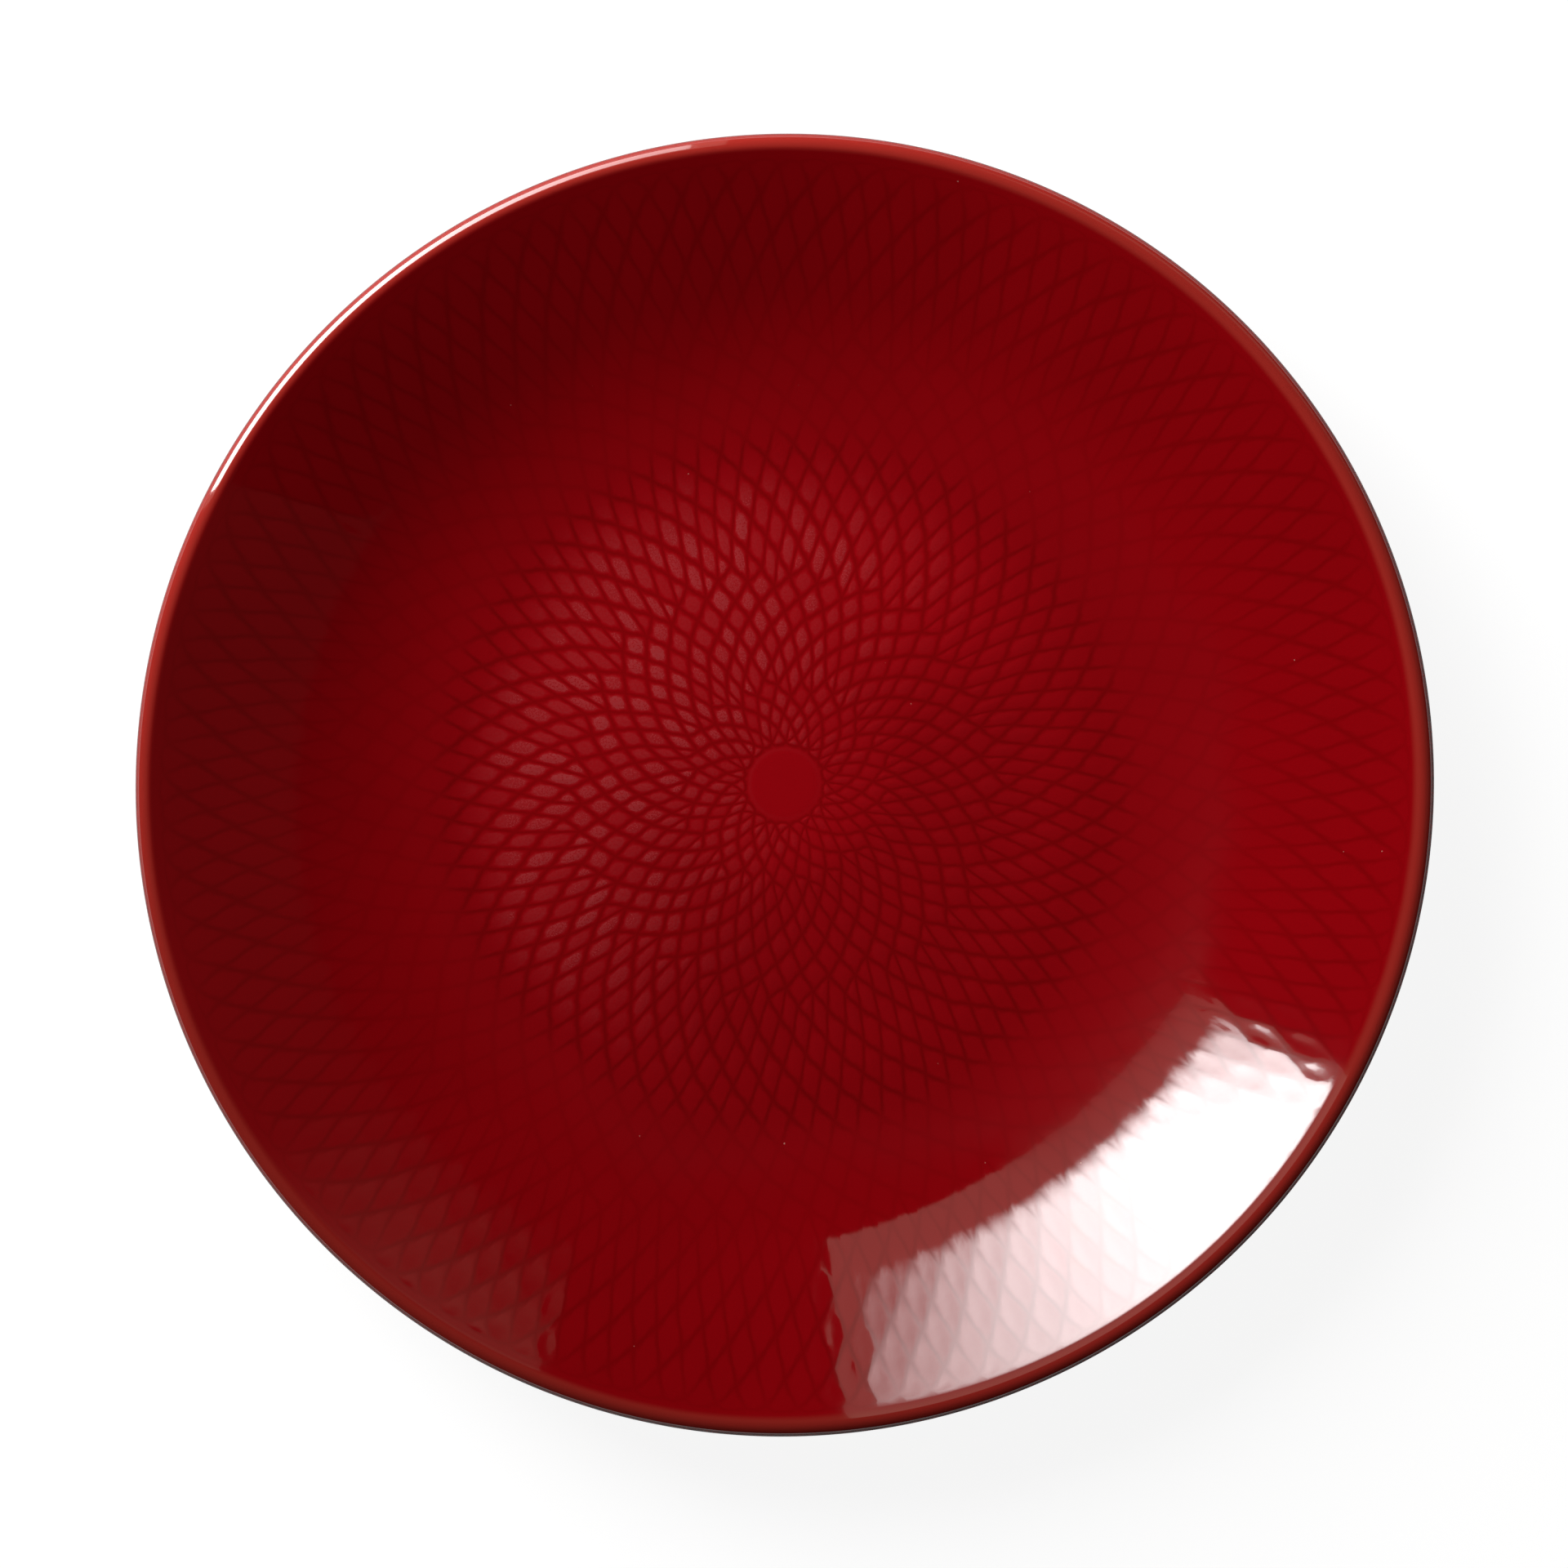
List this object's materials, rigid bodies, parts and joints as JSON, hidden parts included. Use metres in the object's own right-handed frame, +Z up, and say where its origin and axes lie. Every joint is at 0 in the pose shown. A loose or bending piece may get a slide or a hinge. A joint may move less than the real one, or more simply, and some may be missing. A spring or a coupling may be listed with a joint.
{
  "type": "dinner plate",
  "caption": "Round coupe plate with a flat well, a bent heel, a straight sloping wall, a rounded lip, a foot ring and a fine raised seed-head relief over its whole face, for serving food",
  "frame": {"origin": "on the plate's axis, in the plane that the foot ring stands on", "axes": "+Z up along the plate's axis and out of its face; +X and +Y lie in the plane it stands on"},
  "size_m": [0.27, 0.27, 0.03],
  "materials": {
    "stoneware": "bare fired clay, matt and finely gritty, showing on the foot ring only",
    "red_face_glaze": "deep glossy red glaze, darker where it pools in the grooves, thin and brown-red on the lip",
    "red_back_glaze": "deep glossy red glaze with faint throwing rings"
  },
  "bodies": {
    "root": {"clay_body": "stoneware", "face_glaze": "red_face_glaze", "back_glaze": "red_back_glaze", "foot_well_glaze": "red_back_glaze"}
  },
  "joints": []
}
